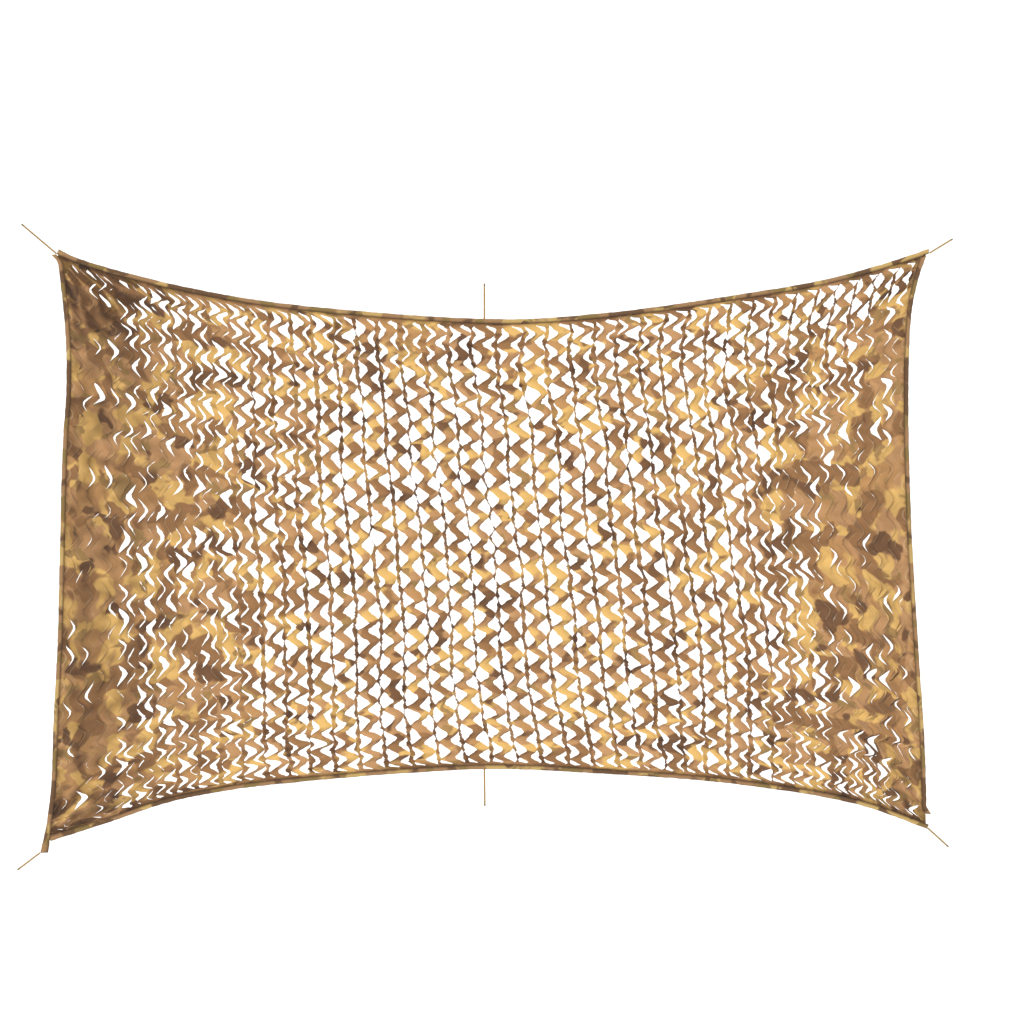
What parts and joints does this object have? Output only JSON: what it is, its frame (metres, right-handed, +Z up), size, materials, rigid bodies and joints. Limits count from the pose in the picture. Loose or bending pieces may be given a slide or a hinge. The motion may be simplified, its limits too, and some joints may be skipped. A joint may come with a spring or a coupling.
{
  "type": "camouflage netting",
  "caption": "Camouflage netting stretched upright: slit cloth pulled open into zigzag ribbons, bound edges, straight cord ties at corners and edge middles",
  "frame": {"origin": "outer edge of the top binding at its middle tie, which hangs 0.34 m lower than the top corners", "axes": "+X across the net to the right seen from the front, +Y backwards through the cloth, +Z up; the front faces -Y"},
  "size_m": [4.4027, 0.0474, 3.2081],
  "materials": {
    "printed_cloth": "matte",
    "binding_tape": "matte",
    "tie_cord": "matte"
  },
  "bodies": {
    "root": {"net": "printed_cloth", "binding_top": "binding_tape", "binding_bottom": "binding_tape", "binding_left": "binding_tape", "binding_right": "binding_tape", "tie_top_left": "tie_cord", "tie_top_middle": "tie_cord", "tie_top_right": "tie_cord", "tie_bottom_left": "tie_cord", "tie_bottom_middle": "tie_cord", "tie_bottom_right": "tie_cord"}
  },
  "joints": []
}
